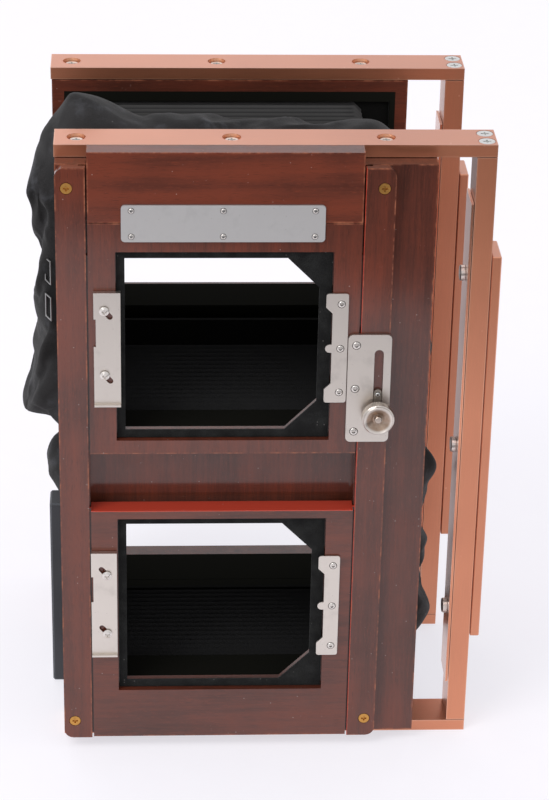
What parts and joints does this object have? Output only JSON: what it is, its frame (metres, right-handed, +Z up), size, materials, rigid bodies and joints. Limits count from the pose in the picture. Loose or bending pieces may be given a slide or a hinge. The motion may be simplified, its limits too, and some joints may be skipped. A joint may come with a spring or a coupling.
{
  "type": "stereo view camera",
  "caption": "Stereo view camera without its rail, standing on end: bronze C-shaped standards, mahogany frames and lens panels, pleated bellows in soft bags.",
  "frame": {"origin": "middle of the underside of the front standard's bottom arm (mount rest_face)", "axes": "+Z up along the camera's long side, -Y to the lens side, +X to the base bars"},
  "size_m": [0.2171, 0.1858, 0.3231],
  "materials": {
    "bronze_anodised": "satin anodised",
    "mahogany": "varnished, worn",
    "velvet": "velvet",
    "nickel": "polished plate",
    "steel": "bright",
    "satin_plate": "satin",
    "brass": "bright",
    "bellows_black": "matt coated cloth",
    "suede_black": "suede",
    "matt_black": "matt"
  },
  "bodies": {
    "rear_standard": {"rear_top_arm": "bronze_anodised", "rear_base_bar": "bronze_anodised", "rear_bottom_arm": "bronze_anodised", "rear_inner_plate": "bronze_anodised", "rear_foot_plate": "bronze_anodised", "rear_corner_screw_1": "steel", "rear_corner_screw_2": "steel", "rear_frame_screw_1": "steel", "rear_frame_screw_2": "steel", "rear_frame_screw_3": "steel", "rear_frame": "mahogany", "bellows_board": "matt_black", "film_back": "mahogany", "side_block": "matt_black", "bellows_upper": "bellows_black", "bellows_lower": "bellows_black", "bag_upper": "suede_black", "bag_lower": "suede_black"},
    "front_standard": {"front_top_arm": "bronze_anodised", "front_base_bar": "bronze_anodised", "front_bottom_arm": "bronze_anodised", "front_inner_plate": "bronze_anodised", "front_foot_plate": "bronze_anodised", "front_corner_screw_1": "steel", "front_corner_screw_2": "steel", "front_frame_screw_1": "steel", "front_frame_screw_2": "steel", "front_frame_screw_3": "steel", "base_bolt_1": "nickel", "base_bolt_2": "nickel", "base_bolt_3": "nickel", "front_frame": "mahogany", "cleat_left": "mahogany", "cleat_right": "mahogany", "cleat_left_screw_1": "brass", "cleat_left_screw_2": "brass", "cleat_right_screw_1": "brass", "cleat_right_screw_2": "brass", "lens_panel_lower": "mahogany", "velvet_lower": "velvet", "catch_lower": "nickel", "latch_lower_screw_1": "nickel", "latch_lower_screw_2": "nickel", "lock_guide_block": "steel"},
    "upper_lens_panel": {"lens_panel_upper": "mahogany", "panel_top_rail": "mahogany", "name_plate": "satin_plate", "velvet_upper": "velvet", "catch_upper": "nickel", "shift_lock_plate": "nickel", "latch_upper_screw_1": "nickel", "latch_upper_screw_2": "nickel"},
    "upper_latch": {"latch_upper": "nickel"},
    "lower_latch": {"latch_lower": "nickel"},
    "clamp": {"clamp_washer": "steel"},
    "knob": {"thumb_knob": "nickel"}
  },
  "joints": [
    {"name": "focus_slide", "type": "slide", "parent": "rear_standard", "child": "front_standard", "axis": [0, -1, 0], "range_m": [-0.025, 0.06], "deforming": ["bellows_upper", "bellows_lower", "bag_upper", "bag_lower"]},
    {"name": "panel_shift", "type": "slide", "parent": "front_standard", "child": "upper_lens_panel", "axis": [0, 0, 1], "range_m": [-0.0205, 0]},
    {"name": "upper_latch_slide", "type": "slide", "parent": "upper_lens_panel", "child": "upper_latch", "axis": [-0.6428, 0, 0.766], "range_m": [0, 0.0042]},
    {"name": "lower_latch_slide", "type": "slide", "parent": "front_standard", "child": "lower_latch", "axis": [-0.6428, 0, 0.766], "range_m": [-0.0042, 0]},
    {"name": "clamp_travel", "type": "slide", "parent": "front_standard", "child": "clamp", "axis": [0, -1, 0], "range_m": [0, 0.0005]},
    {"name": "knob_turn", "type": "hinge", "parent": "clamp", "child": "knob", "pos_m": [0.0497, -0.0255, 0.1911], "axis": [0, -1, 0], "range_deg": [0, 360]}
  ],
  "couplings": [
    {"joint": "clamp_travel", "follows": "knob_turn", "m_per_rad": 0.0000795}
  ]
}
